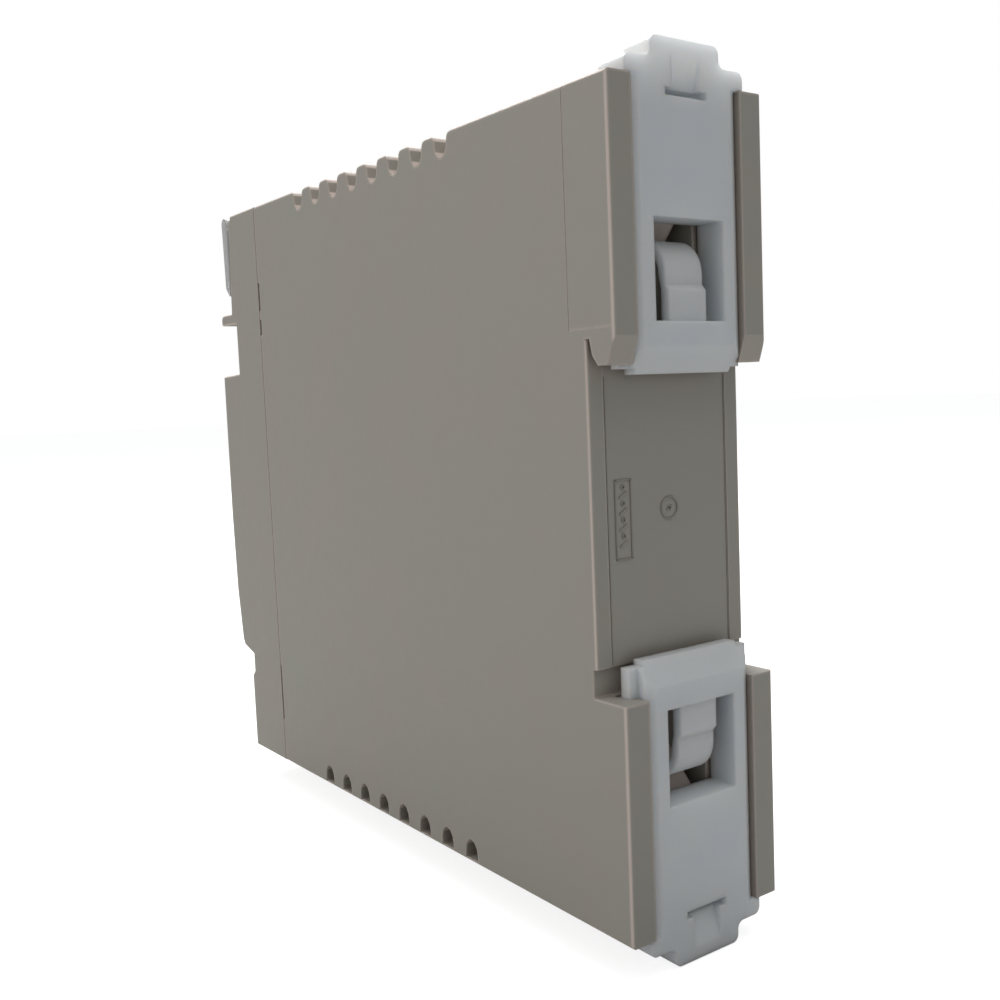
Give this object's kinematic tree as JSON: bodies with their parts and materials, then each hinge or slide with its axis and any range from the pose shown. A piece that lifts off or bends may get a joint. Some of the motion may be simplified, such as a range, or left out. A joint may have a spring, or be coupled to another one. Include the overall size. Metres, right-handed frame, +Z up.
{
  "type": "rail mounted control module",
  "caption": "Slim rail-mounted control module: a ventilated box with a terminal and dial front and sliding rail hooks at its upper and lower rear.",
  "frame": {"origin": "centre of the seat that the 35 mm mounting rail's flanges lie on, in the rear recess", "axes": "-Y is the front with the dials, +Y is towards the rail, +X the plain side plate, +Z up"},
  "size_m": [0.0226, 0.1018, 0.0982],
  "materials": {
    "case_plastic": "fine spark-eroded grain",
    "hook_nylon": "milky, slightly translucent",
    "clear_plastic": "clear moulded",
    "panel_print": "printed film",
    "label_film": "satin label film",
    "dial_plastic": "satin",
    "lamp_lens": "tinted translucent",
    "trimmer_plastic": "moulded",
    "switch_body": "moulded",
    "switch_lever": "moulded",
    "screw_steel": "nickel plated",
    "washer_steel": "plated",
    "contact_brass": "tinned brass",
    "board_laminate": "solder mask",
    "black_plastic": "moulded",
    "relay_case": "moulded",
    "core_steel": "laminated, varnished",
    "winding_tape": "polyester tape",
    "capacitor_sleeve": "shrink sleeve",
    "film_case": "moulded box",
    "ceramic_coat": "dipped coating",
    "crystal_can": "drawn can",
    "fuse_glass": "clear"
  },
  "bodies": {
    "housing": {"main_case": "case_plastic", "front_cover": "case_plastic", "panel_sheet": "panel_print", "side_label": "label_film", "power_lamp": "lamp_lens", "relay_lamp": "lamp_lens", "alarm_lamp": "lamp_lens", "upper_trimmer": "trimmer_plastic", "middle_trimmer": "trimmer_plastic", "lower_trimmer": "trimmer_plastic", "selector_switch": "switch_body", "upper_terminal_screws": "screw_steel", "middle_terminal_screws": "screw_steel", "lower_terminal_screws": "screw_steel", "upper_clamp_washers": "washer_steel", "middle_clamp_washers": "washer_steel", "lower_clamp_washers": "washer_steel", "upper_contact_strips": "contact_brass", "middle_contact_strips": "contact_brass", "lower_contact_strips": "contact_brass", "main_board": "board_laminate", "front_board": "board_laminate", "upper_terminal_board": "board_laminate", "lower_terminal_board": "board_laminate", "board_header": "black_plastic", "microcontroller": "black_plastic", "comparator_chip": "black_plastic", "optocoupler": "black_plastic", "voltage_regulator": "black_plastic", "bridge_rectifier": "black_plastic", "transformer_bobbin": "black_plastic", "output_relay_upper": "relay_case", "output_relay_lower": "relay_case", "transformer_core": "core_steel", "transformer_winding": "winding_tape", "smoothing_capacitor": "capacitor_sleeve", "buffer_capacitor": "capacitor_sleeve", "film_capacitor": "film_case", "varistor": "ceramic_coat", "dropper_resistor_1": "ceramic_coat", "dropper_resistor_2": "ceramic_coat", "dropper_resistor_3": "ceramic_coat", "crystal": "crystal_can", "fuse": "fuse_glass"},
    "upper_hook_body": {"upper_hook": "hook_nylon"},
    "lower_hook_body": {"lower_hook": "hook_nylon"},
    "upper_cover_body": {"upper_terminal_cover": "clear_plastic"},
    "lower_cover_body": {"lower_terminal_cover": "clear_plastic"},
    "upper_dial": {"upper_dial_knob": "dial_plastic"},
    "middle_dial": {"middle_dial_knob": "dial_plastic"},
    "lower_dial": {"lower_dial_knob": "dial_plastic"},
    "lever_1": {"selector_lever_1": "switch_lever"},
    "lever_2": {"selector_lever_2": "switch_lever"},
    "lever_3": {"selector_lever_3": "switch_lever"},
    "lever_4": {"selector_lever_4": "switch_lever"}
  },
  "joints": [
    {"name": "upper_hook_slide", "type": "slide", "parent": "housing", "child": "upper_hook_body", "axis": [0, 0, 1], "range_m": [0, 0.0045], "stiffness_N_per_m": 300},
    {"name": "lower_hook_slide", "type": "slide", "parent": "housing", "child": "lower_hook_body", "axis": [0, 0, -1], "range_m": [0, 0.0045], "stiffness_N_per_m": 300},
    {"name": "upper_cover_hinge", "type": "hinge", "parent": "housing", "child": "upper_cover_body", "pos_m": [0, -0.09285, 0.0426], "axis": [-1, 0, 0], "range_deg": [0, 110]},
    {"name": "lower_cover_hinge", "type": "hinge", "parent": "housing", "child": "lower_cover_body", "pos_m": [0, -0.09175, -0.04515], "axis": [1, 0, 0], "range_deg": [0, 110]},
    {"name": "upper_dial_turn", "type": "hinge", "parent": "housing", "child": "upper_dial", "pos_m": [0, -0.09565, 0.0051], "axis": [0, -1, 0], "range_deg": [-135, 135]},
    {"name": "middle_dial_turn", "type": "hinge", "parent": "housing", "child": "middle_dial", "pos_m": [0, -0.09565, -0.0059], "axis": [0, -1, 0], "range_deg": [-135, 135]},
    {"name": "lower_dial_turn", "type": "hinge", "parent": "housing", "child": "lower_dial", "pos_m": [0, -0.09565, -0.0169], "axis": [0, -1, 0], "range_deg": [-135, 135]},
    {"name": "lever_1_slide", "type": "slide", "parent": "housing", "child": "lever_1", "axis": [1, 0, 0], "range_m": [0, 0.0014]},
    {"name": "lever_2_slide", "type": "slide", "parent": "housing", "child": "lever_2", "axis": [1, 0, 0], "range_m": [0, 0.0014]},
    {"name": "lever_3_slide", "type": "slide", "parent": "housing", "child": "lever_3", "axis": [1, 0, 0], "range_m": [0, 0.0014]},
    {"name": "lever_4_slide", "type": "slide", "parent": "housing", "child": "lever_4", "axis": [1, 0, 0], "range_m": [0, 0.0014]}
  ]
}
